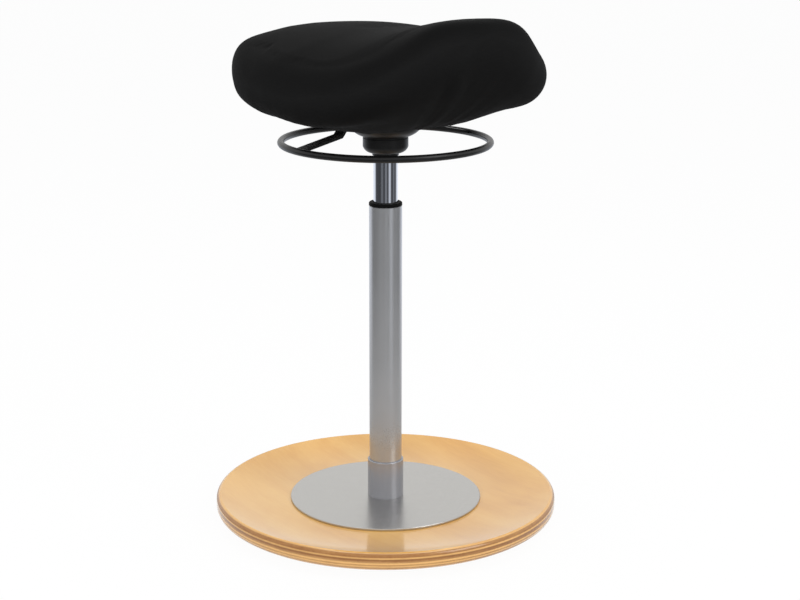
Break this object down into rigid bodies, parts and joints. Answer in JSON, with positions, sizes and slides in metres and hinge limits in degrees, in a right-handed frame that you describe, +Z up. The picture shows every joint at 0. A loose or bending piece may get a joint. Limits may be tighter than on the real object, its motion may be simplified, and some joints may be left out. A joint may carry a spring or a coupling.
{
  "type": "wobble stool",
  "caption": "Sit-stand wobble stool with a dished plywood base, a gas spring column, a round release bar and a saddle seat in stretch fabric.",
  "frame": {"origin": "on the floor under the middle of the base, on the column's axis", "axes": "+Z up along the column, the seat's raised nose towards -Y, the release bar along X"},
  "size_m": [0.403, 0.403, 0.6022],
  "materials": {
    "plywood": "clear satin lacquer on birch plywood",
    "satin_steel": "satin silver-grey powder coat",
    "column_paint": "satin silver-grey powder coat",
    "chrome": "polished chrome",
    "zinc_steel": "zinc-plated steel",
    "bearing_steel": "ground steel",
    "brass_fitting": "machined brass",
    "aluminium_sleeve": "drawn aluminium",
    "black_steel": "satin black powder coat",
    "black_plastic": "black moulded plastic",
    "pan_plastic": "dark moulded plastic",
    "rubber": "black rubber",
    "foam": "moulded cushion foam",
    "seat_fabric": "black stretch fabric"
  },
  "bodies": {
    "base": {"base_dish": "plywood", "anti_slip_sole": "rubber", "base_disc": "satin_steel", "disc_studs": "zinc_steel", "disc_washers": "zinc_steel", "disc_nuts": "zinc_steel", "column_socket": "satin_steel", "column_tube": "column_paint", "guide_bush": "black_plastic", "column_floor_plate": "zinc_steel", "lower_race": "bearing_steel"},
    "bearing": {"bearing_cage": "brass_fitting", "bearing_balls": "bearing_steel"},
    "rod": {"piston_rod": "bearing_steel", "piston": "brass_fitting", "piston_ring": "rubber", "piston_nut": "zinc_steel", "rod_clip": "zinc_steel", "clip_washer": "zinc_steel", "upper_race": "bearing_steel", "bump_stop": "rubber"},
    "seat": {"pressure_tube": "chrome", "rod_guide": "aluminium_sleeve", "rod_seal": "rubber", "inner_cylinder": "aluminium_sleeve", "valve_body": "brass_fitting", "valve_seals": "rubber", "hub_ferrule": "black_plastic", "hub_housing": "black_plastic", "cone_socket": "zinc_steel", "seat_bracket": "black_steel", "seat_plate": "black_steel", "pivot_pin": "zinc_steel", "pivot_clips": "zinc_steel", "t_nuts": "zinc_steel", "seat_pan": "pan_plastic", "seat_screws": "zinc_steel", "seat_foam": "foam", "seat_cover": "seat_fabric", "elastic_hem": "seat_fabric"},
    "release": {"release_ring": "black_steel", "release_cross_bar": "black_steel", "pivot_sleeve": "black_steel"},
    "valve": {"valve_pin": "bearing_steel"}
  },
  "joints": [
    {"name": "seat_swivel", "type": "hinge", "parent": "base", "child": "rod", "pos_m": [0, 0, 0.054], "axis": [0, 0, 1], "continuous": true},
    {"name": "bearing_turn", "type": "hinge", "parent": "base", "child": "bearing", "pos_m": [0, 0, 0.05], "axis": [0, 0, 1], "continuous": true},
    {"name": "seat_height", "type": "slide", "parent": "rod", "child": "seat", "axis": [0, 0, 1], "range_m": [-0.05, 0.15]},
    {"name": "release_tilt", "type": "hinge", "parent": "seat", "child": "release", "pos_m": [-0.024, 0, 0.4824], "axis": [0, 1, 0], "range_deg": [0, 5.5], "stiffness_Nm_per_rad": 12, "springref_deg": -3.44},
    {"name": "valve_press", "type": "slide", "parent": "seat", "child": "valve", "axis": [0, 0, 1], "range_m": [-0.0026, 0]}
  ],
  "couplings": [
    {"joint": "bearing_turn", "follows": "seat_swivel", "ratio": 0.5},
    {"joint": "valve_press", "follows": "release_tilt", "m_per_rad": -0.024}
  ]
}
